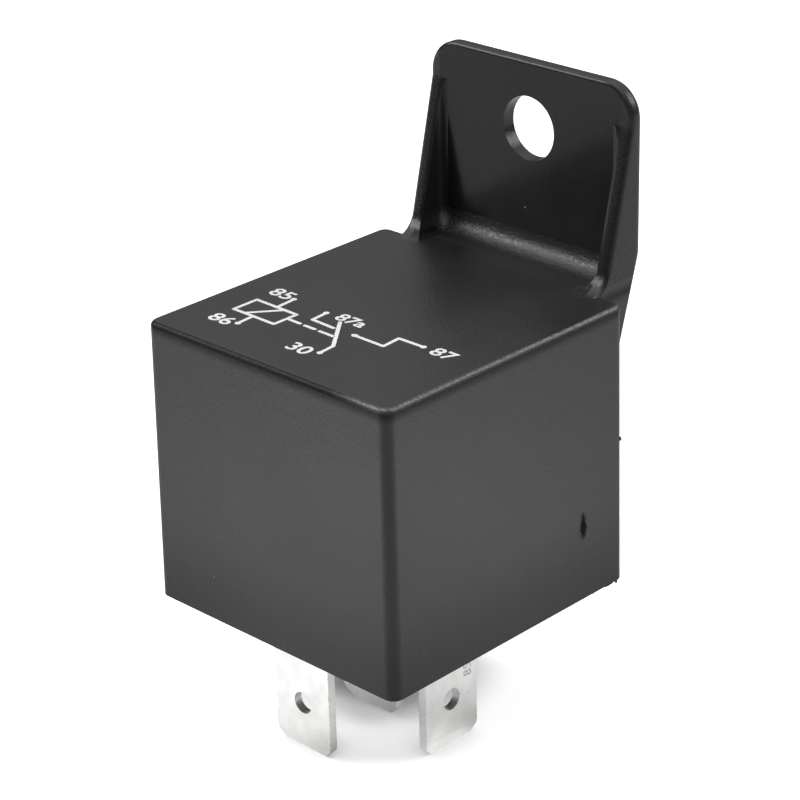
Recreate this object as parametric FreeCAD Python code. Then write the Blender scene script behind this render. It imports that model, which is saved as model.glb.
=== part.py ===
import FreeCAD, Part
import math
import os

# Plug-in automotive relay with a changeover contact and a bracket moulded on its cover.
# Millimetres. The origin is the centre of the base's underside, +Z points away from the
# blades, +Y points to the bracket and +X is the reading direction of the print on top.
# Everything is placed with the coil at rest, so the armature is up.

vec = FreeCAD.Vector
axis_x = vec(1, 0, 0)
axis_y = vec(0, 1, 0)
axis_z = vec(0, 0, 1)

# Cover
cover_width = 28.0
cover_depth = 28.7
cover_height = 25.5
cover_draft = 0.2
cover_corner_radius = 1.0
cover_edge_radius = 0.5
side_wall = 1.35
top_wall = 1.5
ceiling_gap = 1.2
mouth_wall = 0.95
cavity_corner_radius = 0.6

# Bracket on the cover
bracket_width = 22.6
bracket_rise = 17.15
bracket_setback = 4.8
plate_thickness = 1.3
gusset_thickness = 1.2
gusset_start_drop = 3.45
gusset_lean = 13.3
gusset_foot_radius = 2.2
pocket_floor_radius = 1.6
pocket_corner_radius = 0.8
bracket_corner_radius = 3.0
bracket_edge_radius = 0.35
back_bend_drop = 14.75
back_bend_radius = 3.0
back_slope_foot = 12.0
screw_hole_radius = 2.85
screw_hole_drop = 5.95

# Base plate
base_thickness = 2.6
base_clearance = 0.05
base_corner_radius = 0.8
slot_clearance = 0.06
pad_height = 0.8
pad_inset = 1.0
front_pad_width = 2.0
front_pad_length = 2.4
rear_pad_width = 3.2
peg_radius = 0.8
peg_depth_below_leg = 0.1
lug_width = 3.0
lug_height = 0.6
lug_reach = 0.3
lug_spacing = 14.0
lug_edge = 0.15
barrier_thickness = 0.65
barrier_height = 3.0
barrier_length = 3.6

# Blades
blade_width = 6.3
blade_thickness = 0.8
blade_length = 11.3
short_blade_length = 10.6
blade_hole_radius = 1.0
blade_hole_from_tip = 4.45
blade_corner_cut = 0.8
blade_bevel_length = 1.1
blade_bevel_depth = 0.22

# Places of the blades' middle planes and middles
open_blade_y = -10.8
closed_blade_y = -2.8
coil_blade_x = 8.6
coil_blade_y = -2.4
common_blade_y = 6.0

# Coil and magnet frame, placed from the cover's back wall forwards
spring_room = 2.0
coil_gap = 1.0
yoke_thickness = 1.6
yoke_width = 12.0
yoke_inner_radius = 0.4
yoke_front_margin = 0.8
yoke_front_corner = 2.0
horn_width = 0.9
horn_height = 1.2
core_radius = 3.0
core_neck_radius = 2.2
pole_radius = 4.0
pole_thickness = 1.2
bobbin_radius = 7.2
bobbin_wall = 0.7
bobbin_flange = 0.8
flange_overhang = 0.6
ear_width = 4.0
lead_radius = 0.15
lead_height = 0.9
seat_clearance = 0.05

# Armature, spring and contacts
armature_width = 11.0
armature_thickness = 1.5
armature_corner_cut = 1.4
armature_nose = 0.6
armature_back_inset = 0.1
open_angle = 3.0
closed_gap = 0.05
horn_clearance = 0.3
spring_thickness = 0.3
spring_width = 8.8
spring_taper_length = 1.1
spring_corner_radius = 0.5
loop_reach = 1.15
loop_low_drop = 1.4
tail_start_drop = 3.0
tail_end_drop = 9.1
loop_inner_radius = 0.95
window_width = 3.6
window_front = 2.8
window_drop = 4.5
contact_from_blade = 2.3
contact_radius = 1.6
contact_dome_radius = 6.0
contact_shank_radius = 0.8
contact_lower_head = 0.85
contact_upper_head = 0.45
contact_margin = 0.1
contact_side_margin = 0.6
fixed_contact_height = 0.8
fixed_contact_chamfer = 0.2
contact_tail_radius = 1.15
contact_tail_height = 0.3
rivet_radius = 0.8
rivet_clearance = 0.03
rivet_head_radius = 1.3
rivet_head_height = 0.45
rivet_head_chamfer = 0.2
armature_rivet_x = 2.8
rivet_pole_gap = 0.3
yoke_rivet_x = 2.6
yoke_rivet_drop = 6.9

# Upper parts of the terminals
terminal_gap = 1.25
open_bend_radius = 0.4
sharp_bend_radius = 0.05
shelf_margin = 0.3
shelf_side_margin = 0.8
riser_width = 4.0
foot_bend_length = 2.2
riser_foot_length = 1.8
cross_strip_height = 1.95
cross_strip_drop = 0.4
post_width = 2.4
post_over_lead = 0.9
post_notch_radius = 0.4
shoulder_width = 7.2
shoulder_height = 0.7
solder_radius = 0.7
solder_tip_radius = 0.25
solder_height = 0.6

# Braid
braid_radius = 0.6
braid_start_x = -1.2
braid_rivet_gap = 0.1
braid_wall_gap = 1.65
braid_ear_overhang = 1.4
braid_swing = 1.2
braid_hump = 0.4
braid_over_pole = 0.3
braid_yoke_gap = 0.6
braid_tab_overlap = 1.2
braid_weld_gap = 0.02
braid_bends = [1.0, 2.6, 3.0, 1.6]

# Places that follow, from the back of the cover to the front
inner_back = cover_depth / 2 - side_wall
inner_side = cover_width / 2 - side_wall
yoke_back = inner_back - spring_room
yoke_middle_y = yoke_back - yoke_thickness / 2
coil_y = yoke_back - yoke_thickness - coil_gap - bobbin_radius
yoke_front = coil_y - core_neck_radius - yoke_front_margin
armature_rivet_y = coil_y - pole_radius - rivet_pole_gap - rivet_radius
armature_front = armature_rivet_y - rivet_radius - armature_nose
braid_start_y = armature_rivet_y - rivet_head_radius - braid_rivet_gap - braid_radius
taper_start = braid_start_y - braid_radius - 2 * braid_rivet_gap
taper_end = taper_start - spring_taper_length
contact_y = open_blade_y + contact_from_blade
spring_tip = contact_y - contact_radius - contact_margin
shelf_end = contact_y + contact_radius + shelf_margin
winding_radius = bobbin_radius - flange_overhang
spring_tip_width = 2 * (contact_radius + contact_side_margin)
shelf_width = 2 * (contact_radius + shelf_side_margin)
riser_left = blade_width / 2 + terminal_gap
riser_right = riser_left + riser_width
foot_front = open_blade_y + blade_thickness / 2 + 2 * terminal_gap
braid_side_x = -(inner_side - braid_wall_gap - braid_radius)

# Heights that follow: the contacts hang from the cover's ceiling, and the coil fills what is left
tab_top = base_thickness + blade_thickness
yoke_floor = base_thickness + pad_height
yoke_leg_top = yoke_floor + yoke_thickness
lead_z = yoke_leg_top + bobbin_flange + lead_height
contact_dome = contact_dome_radius - math.sqrt(contact_dome_radius**2 - contact_radius**2)
moving_stack = closed_gap + armature_thickness + spring_thickness + contact_upper_head + contact_dome
lift = (yoke_back - contact_y) * math.sin(math.radians(open_angle))
crown_rise = lift + moving_stack * math.cos(math.radians(open_angle))
closed_stack = closed_gap + fixed_contact_height + blade_thickness + contact_tail_height
pole_height = cover_height - top_wall - ceiling_gap - closed_stack - crown_rise
closed_underside = pole_height + closed_gap
closed_top = closed_underside + armature_thickness
spring_top_closed = closed_top + spring_thickness
open_shelf_top = closed_top - contact_lower_head - contact_dome - closed_gap - fixed_contact_height
hinge_point = vec(0, yoke_back, pole_height)

# The bracket and the cover's mouth
bracket_top = cover_height + bracket_rise
bracket_back = cover_depth / 2 + bracket_setback
plate_front = bracket_back - plate_thickness
mouth_half_width = cover_width / 2 - mouth_wall
mouth_half_depth = cover_depth / 2 - mouth_wall


def rounded_wire(points, radii):
    """Closed wire through the points, with an arc of the given radius at each corner."""
    starts = []
    ends = []
    middles = []
    count = len(points)
    for i in range(count):
        corner = points[i]
        radius = radii[i]
        to_last = (points[i - 1] - corner).normalize()
        to_next = (points[(i + 1) % count] - corner).normalize()
        if radius <= 0:
            starts.append(corner)
            ends.append(corner)
            middles.append(None)
            continue
        half = to_last.getAngle(to_next) / 2
        reach = radius / math.tan(half)
        inward = (to_last + to_next).normalize()
        centre = corner + inward * (radius / math.sin(half))
        starts.append(corner + to_last * reach)
        ends.append(corner + to_next * reach)
        middles.append(centre - inward * radius)
    edges = []
    for i in range(count):
        gap = starts[i] - ends[i - 1]
        if gap.Length > 1e-6:
            edges.append(Part.makeLine(ends[i - 1], starts[i]))
        if middles[i] is not None:
            edges.append(Part.Arc(starts[i], middles[i], ends[i]).toShape())
    return Part.Wire(Part.__sortEdges__(edges))


def prism(points, radii, depth):
    """Solid swept by a rounded outline along the depth vector."""
    if not isinstance(radii, list):
        radii = [radii] * len(points)
    return Part.Face(rounded_wire(points, radii)).extrude(depth)


def bent_strip(path, inner_radii, thickness, sideways, side_from, side_to):
    """Bent sheet: the path is its middle line, swept sideways between two distances."""
    left = []
    right = []
    left_radii = []
    right_radii = []
    last = len(path) - 1
    for i in range(len(path)):
        before = (path[i] - path[i - 1]).normalize() if i > 0 else None
        after = (path[i + 1] - path[i]).normalize() if i < last else None
        if before is None:
            before = after
        if after is None:
            after = before
        across_before = sideways.cross(before)
        across_after = sideways.cross(after)
        mitre = (across_before + across_after).normalize()
        reach = thickness / 2 / mitre.dot(across_before)
        left.append(path[i] + mitre * reach)
        right.append(path[i] - mitre * reach)
        if i in (0, last):
            left_radii.append(0)
            right_radii.append(0)
            continue
        turns_left = before.cross(after).dot(sideways) > 0
        inner = inner_radii[i - 1]
        outer = inner + thickness
        left_radii.append(inner if turns_left else outer)
        right_radii.append(outer if turns_left else inner)
    points = left + right[::-1]
    radii = left_radii + right_radii[::-1]
    shift = sideways * side_from
    points = [point + shift for point in points]
    return prism(points, radii, sideways * (side_to - side_from))


def rounded_rectangle(half_x, half_y, radius, height):
    points = [vec(-half_x, -half_y, height), vec(half_x, -half_y, height),
              vec(half_x, half_y, height), vec(-half_x, half_y, height)]
    return rounded_wire(points, [radius] * 4)


def drafted_block(half_x, half_y, radius, low, high):
    """Block with the cover's draft, measured at the rim."""
    shrink_low = cover_draft * low / cover_height
    shrink_high = cover_draft * high / cover_height
    lower = rounded_rectangle(half_x - shrink_low, half_y - shrink_low, radius, low)
    upper = rounded_rectangle(half_x - shrink_high, half_y - shrink_high, radius, high)
    return Part.makeLoft([lower, upper], True, True)


def box(low, high):
    size = high - low
    return Part.makeBox(size.x, size.y, size.z, low)


def centred_box(centre_x, centre_y, size_x, size_y, low, high):
    corner = vec(centre_x - size_x / 2, centre_y - size_y / 2, low)
    return Part.makeBox(size_x, size_y, high - low, corner)


def fuse_all(shapes):
    joined = shapes[0].fuse(shapes[1:])
    return joined.removeSplitter()


def tilt_to_rest(shape):
    """Turn a shape drawn with the armature closed up to the armature's rest position."""
    turned = shape.copy()
    turned.rotate(hinge_point, axis_x, -open_angle)
    return turned


def rest_place(y, z):
    """Where a point of the closed armature's middle section lies at rest."""
    angle = math.radians(-open_angle)
    dy = y - hinge_point.y
    dz = z - hinge_point.z
    turned_y = dy * math.cos(angle) - dz * math.sin(angle)
    turned_z = dy * math.sin(angle) + dz * math.cos(angle)
    return vec(0, hinge_point.y + turned_y, hinge_point.z + turned_z)


def top_edges(shape, height):
    found = []
    for edge in shape.Edges:
        bounds = edge.BoundBox
        if abs(bounds.ZMin - height) < 1e-4 and abs(bounds.ZMax - height) < 1e-4:
            found.append(edge)
    return found


def cover_body():
    half_x = cover_width / 2
    half_y = cover_depth / 2
    block = drafted_block(half_x, half_y, cover_corner_radius, 0, cover_height)
    return block.makeFillet(cover_edge_radius, top_edges(block, cover_height))


def bracket_side_profile():
    """Side view of the bracket: gusset front, plate, bend and the slope behind the body."""
    lean = math.tan(math.radians(gusset_lean))
    gusset_start = bracket_top - gusset_start_drop
    foot_front = plate_front - lean * (gusset_start - cover_height)
    foot_inside = cover_height - top_wall / 2
    wall_inside = cover_depth / 2 - side_wall / 2
    bend = bracket_top - back_bend_drop
    slope_foot_y = cover_depth / 2 - cover_draft * back_slope_foot / cover_height
    foot_toe = foot_front - 2 * gusset_foot_radius
    points = [vec(0, foot_toe, foot_inside), vec(0, foot_toe, cover_height),
              vec(0, foot_front, cover_height), vec(0, plate_front, gusset_start),
              vec(0, plate_front, bracket_top), vec(0, bracket_back, bracket_top),
              vec(0, bracket_back, bend), vec(0, slope_foot_y, back_slope_foot),
              vec(0, wall_inside, back_slope_foot), vec(0, wall_inside, foot_inside)]
    radii = [0, 0, gusset_foot_radius, 0, 0, 0, back_bend_radius, 0, 0, 0]
    return points, radii


def bracket_pocket():
    """Space between the gussets, with its moulded inner radii."""
    half = bracket_width / 2 - gusset_thickness
    front = cover_depth / 2 - 3 * gusset_foot_radius
    block = box(vec(-half, front, cover_height), vec(half, plate_front, bracket_top + 1))
    upright = []
    for edge in block.Edges:
        middle = edge.CenterOfMass
        if abs(middle.y - plate_front) < 1e-4 and abs(abs(middle.x) - half) < 1e-4:
            upright.append(edge)
    rounded = block.makeFillet(pocket_corner_radius, upright)
    floor = []
    for edge in rounded.Edges:
        at_floor = edge.BoundBox.ZMax - cover_height < 1e-4
        if at_floor and edge.CenterOfMass.y > plate_front - 1e-3:
            floor.append(edge)
    return rounded.makeFillet(pocket_floor_radius, floor)


def outward(face, point):
    u, v = face.Surface.parameter(point)
    return face.normalAt(u, v)


def convex_edges(shape, low):
    """Sharp outer edges of a solid whose middles lie above a height."""
    found = []
    step = 0.02
    for edge in shape.Edges:
        middle = edge.valueAt((edge.FirstParameter + edge.LastParameter) / 2)
        faces = shape.ancestorsOfType(edge, Part.Face)
        if middle.z < low or len(faces) != 2:
            continue
        first = outward(faces[0], middle)
        second = outward(faces[1], middle)
        if first.getAngle(second) < math.radians(20):
            continue
        probe = middle + (first + second).normalize() * step
        if not shape.isInside(probe, 1e-6, True):
            found.append(edge)
    return found


def bracket():
    half = bracket_width / 2
    points, radii = bracket_side_profile()
    points = [point - axis_x * half for point in points]
    solid = prism(points, radii, axis_x * bracket_width)
    low = back_slope_foot - 1
    front = [vec(-half, 0, low), vec(half, 0, low), vec(half, 0, bracket_top), vec(-half, 0, bracket_top)]
    corner = bracket_corner_radius
    solid = solid.common(prism(front, [0, 0, corner, corner], axis_y * (bracket_back + 1)))
    solid = solid.cut(bracket_pocket())
    inside = half - gusset_thickness + 1e-3
    rounded = []
    for edge in convex_edges(solid, cover_height + gusset_foot_radius):
        middle = edge.CenterOfMass
        if abs(middle.x) > inside or middle.y > plate_front - bracket_edge_radius:
            rounded.append(edge)
    return solid.makeFillet(bracket_edge_radius, rounded)


def screw_hole():
    start = vec(0, plate_front - plate_thickness, bracket_top - screw_hole_drop)
    return Part.makeCylinder(screw_hole_radius, 3 * plate_thickness, start, axis_y)


def cover_cavity():
    ceiling = cover_height - top_wall
    cavity = drafted_block(inner_side, inner_back, cavity_corner_radius, base_thickness, ceiling)
    mouth = Part.Face(rounded_rectangle(mouth_half_width, mouth_half_depth, cavity_corner_radius, -1))
    return cavity.fuse(mouth.extrude(axis_z * (base_thickness + 1)))


def lug_places():
    for side in (-1, 1):
        for x in (-lug_spacing / 2, lug_spacing / 2):
            yield x, side


def snap_lug(x, side):
    """Wedge inside the mouth that the base plate snaps over."""
    wall = side * mouth_half_depth
    tip = wall - side * lug_reach
    top = lug_edge + lug_height
    left = x - lug_width / 2
    profile = [vec(left, wall, lug_edge), vec(left, tip, top - lug_height / 3),
               vec(left, tip, top), vec(left, wall, top)]
    return prism(profile, 0, axis_x * lug_width)


def cover():
    shell = cover_body().fuse(bracket()).cut([screw_hole(), cover_cavity()])
    return fuse_all([shell] + [snap_lug(x, side) for x, side in lug_places()])


def base_slots():
    wide = blade_width + 2 * slot_clearance
    thin = blade_thickness + 2 * slot_clearance
    low = -1
    high = base_thickness + 1
    return [centred_box(0, open_blade_y, wide, thin, low, high),
            centred_box(0, closed_blade_y, wide, thin, low, high),
            centred_box(coil_blade_x, coil_blade_y, thin, wide, low, high),
            centred_box(-coil_blade_x, coil_blade_y, thin, wide, low, high),
            centred_box(0, common_blade_y, thin, wide, low, high)]


def front_pad_places():
    side = yoke_width / 2 - pad_inset - front_pad_width / 2
    y = yoke_front + front_pad_length / 2
    return [vec(-side, y, 0), vec(side, y, 0)]


def yoke_pads():
    """Pads that carry the yoke at the height of the common terminal's foot."""
    rear_x = yoke_width / 2 - pad_inset - rear_pad_width / 2
    pads = [centred_box(rear_x, common_blade_y, rear_pad_width, blade_width, base_thickness, yoke_floor)]
    for place in front_pad_places():
        pads.append(centred_box(place.x, place.y, front_pad_width, front_pad_length,
                                base_thickness, yoke_floor))
    return pads


def yoke_pegs():
    length = yoke_thickness - peg_depth_below_leg
    return rod_row(peg_radius, length, [place + axis_z * yoke_floor for place in front_pad_places()], axis_z)


def base_plate():
    half_x = mouth_half_width - base_clearance
    half_y = mouth_half_depth - base_clearance
    outline = rounded_rectangle(half_x, half_y, base_corner_radius, 0)
    plate = Part.Face(outline).extrude(axis_z * base_thickness)
    barrier_x = (blade_width / 2 + riser_left) / 2
    barrier = centred_box(barrier_x, open_blade_y, barrier_thickness, barrier_length,
                          base_thickness, base_thickness + barrier_height)
    solid = fuse_all([plate, barrier] + yoke_pads() + yoke_pegs())
    solid = solid.cut(base_slots())
    notch_width = lug_width + 4 * base_clearance
    notch_top = lug_edge + lug_height + base_clearance
    notch_depth = 2 * (lug_reach + base_clearance)
    notches = [centred_box(x, side * mouth_half_depth, notch_width, notch_depth, -1, notch_top)
               for x, side in lug_places()]
    return solid.cut(notches)


def blade(length):
    """Plug-in blade in the XZ plane, from the top of the base down to its bevelled tip."""
    half = blade_width / 2
    back = -blade_thickness / 2
    tip = -length
    cut = blade_corner_cut
    outline = [vec(-half, back, base_thickness), vec(-half, back, tip + cut), vec(-half + cut, back, tip),
               vec(half - cut, back, tip), vec(half, back, tip + cut), vec(half, back, base_thickness)]
    solid = prism(outline, 0, axis_y * blade_thickness)
    for side in (-1, 1):
        face = side * blade_thickness / 2
        wedge = [vec(-half - 1, face, tip), vec(-half - 1, face, tip + blade_bevel_length),
                 vec(-half - 1, face - side * blade_bevel_depth, tip)]
        solid = solid.cut(prism(wedge, 0, axis_x * (blade_width + 2)))
    hole_height = tip + blade_hole_from_tip
    hole = Part.makeCylinder(blade_hole_radius, blade_thickness + 2, vec(0, back - 1, hole_height), axis_y)
    return solid.cut(hole)


def placed_blade(length, x, y, turned):
    solid = blade(length)
    if turned:
        solid.rotate(vec(0, 0, 0), axis_z, 90)
    solid.translate(vec(x, y, 0))
    return solid


def terminal_open():
    """Front terminal: its riser ends in a shelf under the moving contact."""
    shelf = open_shelf_top - blade_thickness / 2
    path = [vec(0, open_blade_y, base_thickness), vec(0, open_blade_y, shelf), vec(0, shelf_end, shelf)]
    half = blade_width / 2
    riser = bent_strip(path, [open_bend_radius], blade_thickness, axis_x, -half, half)
    front = open_blade_y - blade_thickness
    shelf_low = open_shelf_top - 2 * blade_thickness
    trims = [box(vec(-half - 1, front, shelf_low), vec(-shelf_width / 2, shelf_end + 1, open_shelf_top + 1)),
             box(vec(shelf_width / 2, front, shelf_low), vec(half + 1, shelf_end + 1, open_shelf_top + 1))]
    riser = riser.cut(trims + [contact_hole(shelf)])
    return fuse_all([placed_blade(blade_length, 0, open_blade_y, False), riser])


def contact_hole(height):
    radius = contact_shank_radius + rivet_clearance
    depth = 2 * blade_thickness
    return Part.makeCylinder(radius, 2 * depth, vec(0, contact_y, height - depth))


def closed_shelf_bottom():
    """Underside of the shelf over the moving contact, from the contact's highest point at rest."""
    crown = rest_place(contact_y, spring_top_closed + contact_upper_head + contact_dome)
    return crown.z + closed_gap + fixed_contact_height


def closed_foot():
    """Flat foot of the middle terminal, from its blade to its riser at the front corner."""
    half = blade_width / 2
    back = closed_blade_y - foot_bend_length
    riser_front = open_blade_y + riser_foot_length
    z = base_thickness
    outline = [vec(-half, back, z), vec(-half, foot_front, z), vec(riser_left, foot_front, z),
               vec(riser_left, riser_front, z), vec(riser_right, riser_front, z),
               vec(riser_right, foot_front + terminal_gap, z), vec(half + terminal_gap, back, z)]
    return prism(outline, 0, axis_z * blade_thickness)


def terminal_closed():
    """Middle terminal: a foot on the base, a riser at the front corner and a shelf on top."""
    half = blade_width / 2
    foot_z = base_thickness + blade_thickness / 2
    shelf = closed_shelf_bottom() + blade_thickness / 2
    shelf_top = shelf + blade_thickness / 2
    strip_low = shelf_top - cross_strip_height
    bend_path = [vec(0, closed_blade_y, base_thickness / 2), vec(0, closed_blade_y, foot_z),
                 vec(0, closed_blade_y - foot_bend_length, foot_z)]
    riser_path = [vec(0, open_blade_y + riser_foot_length, foot_z), vec(0, open_blade_y, foot_z),
                  vec(0, open_blade_y, strip_low)]
    shelf_path = [vec(0, open_blade_y, strip_low), vec(0, open_blade_y, shelf), vec(0, shelf_end, shelf)]
    bend = [sharp_bend_radius]
    blade_bend = bent_strip(bend_path, bend, blade_thickness, axis_x, -half, half)
    riser = bent_strip(riser_path, bend, blade_thickness, axis_x, riser_left, riser_right)
    top_shelf = bent_strip(shelf_path, bend, blade_thickness, axis_x, -shelf_width / 2, shelf_width / 2)
    front = open_blade_y - blade_thickness / 2
    strip = box(vec(shelf_width / 2, front, strip_low),
                vec(riser_right, front + blade_thickness, shelf_top - cross_strip_drop))
    lower = [placed_blade(short_blade_length, 0, closed_blade_y, False), blade_bend, closed_foot()]
    return fuse_all(lower + [riser, strip, top_shelf.cut(contact_hole(shelf))])


def terminal_coil(side):
    """Coil terminal: a shoulder on the base and a slim notched post for the lead."""
    x = side * coil_blade_x
    shoulder_top = base_thickness + shoulder_height
    post_top = lead_z + post_over_lead
    shoulder = centred_box(x, coil_blade_y, blade_thickness, shoulder_width, base_thickness, shoulder_top)
    post = centred_box(x, coil_blade_y, blade_thickness, post_width, shoulder_top, post_top)
    notch_places = [vec(x - blade_thickness, coil_blade_y + edge * post_width / 2, lead_z)
                    for edge in (-1, 1)]
    notches = rod_row(post_notch_radius, 2 * blade_thickness, notch_places, axis_x)
    return fuse_all([placed_blade(blade_length, x, coil_blade_y, True), shoulder, post.cut(notches)])


def terminal_common():
    """Rear terminal: its foot is bent flat under the yoke and runs out to the braid."""
    foot_z = base_thickness + blade_thickness / 2
    tab_end = braid_side_x + braid_tab_overlap
    path = [vec(0, 0, base_thickness / 2), vec(0, 0, foot_z), vec(tab_end, 0, foot_z)]
    foot = bent_strip(path, [sharp_bend_radius], blade_thickness, axis_y,
                      common_blade_y - blade_width / 2, common_blade_y + blade_width / 2)
    return fuse_all([placed_blade(blade_length, 0, common_blade_y, True), foot])


def rod_row(radius, length, places, direction):
    return [Part.makeCylinder(radius, length, place, direction) for place in places]


def armature_rivet_places(height):
    return [vec(x, armature_rivet_y, height) for x in (-armature_rivet_x, armature_rivet_x)]


def yoke_rivet_places(y):
    return [vec(x, y, pole_height - yoke_rivet_drop) for x in (-yoke_rivet_x, yoke_rivet_x)]


def yoke():
    """L-shaped frame; two horns at its top edge keep the armature from sliding sideways."""
    half = yoke_width / 2
    middle_z = yoke_floor + yoke_thickness / 2
    path = [vec(0, yoke_front, middle_z), vec(0, yoke_middle_y, middle_z), vec(0, yoke_middle_y, pole_height)]
    solid = bent_strip(path, [yoke_inner_radius], yoke_thickness, axis_x, -half, half)
    outline = [vec(-half, yoke_front, 0), vec(half, yoke_front, 0),
               vec(half, yoke_back, 0), vec(-half, yoke_back, 0)]
    corner = yoke_front_corner
    solid = solid.common(prism(outline, [corner, corner, 0, 0], axis_z * pole_height))
    horns = [centred_box(side * (half - horn_width / 2), yoke_middle_y, horn_width, yoke_thickness,
                         pole_height, pole_height + horn_height) for side in (-1, 1)]
    solid = fuse_all([solid] + horns)
    depth = 3 * yoke_thickness
    below = axis_z * (yoke_floor - yoke_thickness)
    core_hole = Part.makeCylinder(core_neck_radius + seat_clearance, depth, vec(0, coil_y, 0) + below)
    peg_holes = rod_row(peg_radius + rivet_clearance, depth,
                        [place + below for place in front_pad_places()], axis_z)
    rivet_holes = rod_row(rivet_radius + rivet_clearance, depth,
                          yoke_rivet_places(yoke_back - 2 * yoke_thickness), axis_y)
    return solid.cut([core_hole] + peg_holes + rivet_holes)


def core():
    neck = Part.makeCylinder(core_neck_radius, yoke_thickness, vec(0, coil_y, yoke_floor))
    shaft = Part.makeCylinder(core_radius, pole_height - yoke_leg_top, vec(0, coil_y, yoke_leg_top))
    disc = Part.makeCylinder(pole_radius, pole_thickness, vec(0, coil_y, pole_height - pole_thickness))
    return fuse_all([neck, shaft, disc])


def bobbin():
    """Coil former: tube and two flanges, with an ear to each coil terminal."""
    inner = core_radius + seat_clearance
    tube_radius = inner + bobbin_wall
    low = yoke_leg_top
    high = pole_height - pole_thickness - seat_clearance
    lower = Part.makeCylinder(bobbin_radius, bobbin_flange, vec(0, coil_y, low))
    ear_length = 2 * (coil_blade_x - blade_thickness / 2 - seat_clearance)
    ears = centred_box(0, coil_blade_y, ear_length, ear_width, low, low + bobbin_flange)
    upper = Part.makeCylinder(bobbin_radius, bobbin_flange, vec(0, coil_y, high - bobbin_flange))
    tube = Part.makeCylinder(tube_radius, high - low, vec(0, coil_y, low))
    solid = fuse_all([lower, ears, upper, tube])
    return solid.cut(Part.makeCylinder(inner, high - low + 2, vec(0, coil_y, low - 1)))


def lead(side):
    """Straight lead from inside the winding to the inner face of a coil terminal."""
    start_x = winding_radius / 2
    end_x = coil_blade_x - blade_thickness / 2
    start = vec(side * start_x, coil_blade_y, lead_z)
    return Part.makeCylinder(lead_radius, end_x - start_x, start, axis_x * side)


def coil_winding():
    inner = core_radius + seat_clearance + bobbin_wall + seat_clearance
    low = yoke_leg_top + bobbin_flange + seat_clearance
    high = pole_height - pole_thickness - bobbin_flange - 2 * seat_clearance
    ring = Part.makeCylinder(winding_radius, high - low, vec(0, coil_y, low))
    solid = fuse_all([ring, lead(-1), lead(1)])
    return solid.cut(Part.makeCylinder(inner, high - low, vec(0, coil_y, low)))


def solder_joints():
    """Cone of solder round each lead, on the inner face of the coil terminal's post."""
    joints = []
    for side in (-1, 1):
        foot = vec(side * (coil_blade_x - blade_thickness / 2), coil_blade_y, lead_z)
        cone = Part.makeCone(solder_radius, solder_tip_radius, solder_height, foot, axis_x * -side)
        joints.append(cone.cut(lead(side)))
    return Part.makeCompound(joints)


def armature():
    half = armature_width / 2
    notch_x = yoke_width / 2 - horn_width - horn_clearance
    notch_y = yoke_back - yoke_thickness - horn_clearance
    rear = yoke_back - armature_back_inset
    cut = armature_corner_cut
    z = closed_underside
    outline = [vec(-half + cut, armature_front, z), vec(half - cut, armature_front, z),
               vec(half, armature_front + cut, z), vec(half, notch_y, z), vec(notch_x, notch_y, z),
               vec(notch_x, rear, z), vec(-notch_x, rear, z), vec(-notch_x, notch_y, z),
               vec(-half, notch_y, z), vec(-half, armature_front + cut, z)]
    solid = prism(outline, 0, axis_z * armature_thickness)
    holes = rod_row(rivet_radius + rivet_clearance, 3 * armature_thickness,
                    armature_rivet_places(z - armature_thickness), axis_z)
    return tilt_to_rest(solid.cut(holes))


def spring_leaf():
    """Flat part of the spring on the armature, drawn closed and turned to rest."""
    half = spring_width / 2
    tip_half = spring_tip_width / 2
    z = closed_top
    rear = yoke_back - yoke_thickness
    outline = [vec(-tip_half, spring_tip, z), vec(tip_half, spring_tip, z), vec(tip_half, taper_end, z),
               vec(half, taper_start, z), vec(half, rear, z), vec(-half, rear, z),
               vec(-half, taper_start, z), vec(-tip_half, taper_end, z)]
    corner = spring_corner_radius
    tip_round = contact_radius
    leaf = prism(outline, [tip_round, tip_round, corner, corner, 0, 0, corner, corner],
                 axis_z * spring_thickness)
    below = z - spring_thickness
    depth = 3 * spring_thickness
    holes = rod_row(rivet_radius + rivet_clearance, depth, armature_rivet_places(below), axis_z)
    holes += rod_row(contact_shank_radius + rivet_clearance, depth, [vec(0, contact_y, below)], axis_z)
    return tilt_to_rest(leaf.cut(holes))


def spring_loop():
    """Loop of the spring behind the armature and its tail on the back of the yoke."""
    start = rest_place(yoke_back - yoke_thickness, closed_top + spring_thickness / 2)
    slope = math.tan(math.radians(open_angle))
    loop_y = yoke_back + loop_reach
    tail_y = yoke_back + spring_thickness / 2
    path = [start, vec(0, loop_y, start.z - (loop_y - start.y) * slope),
            vec(0, loop_y, pole_height - loop_low_drop), vec(0, tail_y, pole_height - tail_start_drop),
            vec(0, tail_y, pole_height - tail_end_drop)]
    half = spring_width / 2
    loop = bent_strip(path, [loop_inner_radius] * 3, spring_thickness, axis_x, -half, half)
    holes = rod_row(rivet_radius + rivet_clearance, 3 * spring_thickness,
                    yoke_rivet_places(yoke_back - spring_thickness), axis_y)
    return loop.cut(holes)


def contact_spring():
    solid = fuse_all([spring_leaf(), spring_loop()])
    half = window_width / 2
    window = box(vec(-half, yoke_back - window_front, pole_height - window_drop),
                 vec(half, inner_back, cover_height - top_wall))
    return solid.cut(window)


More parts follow.
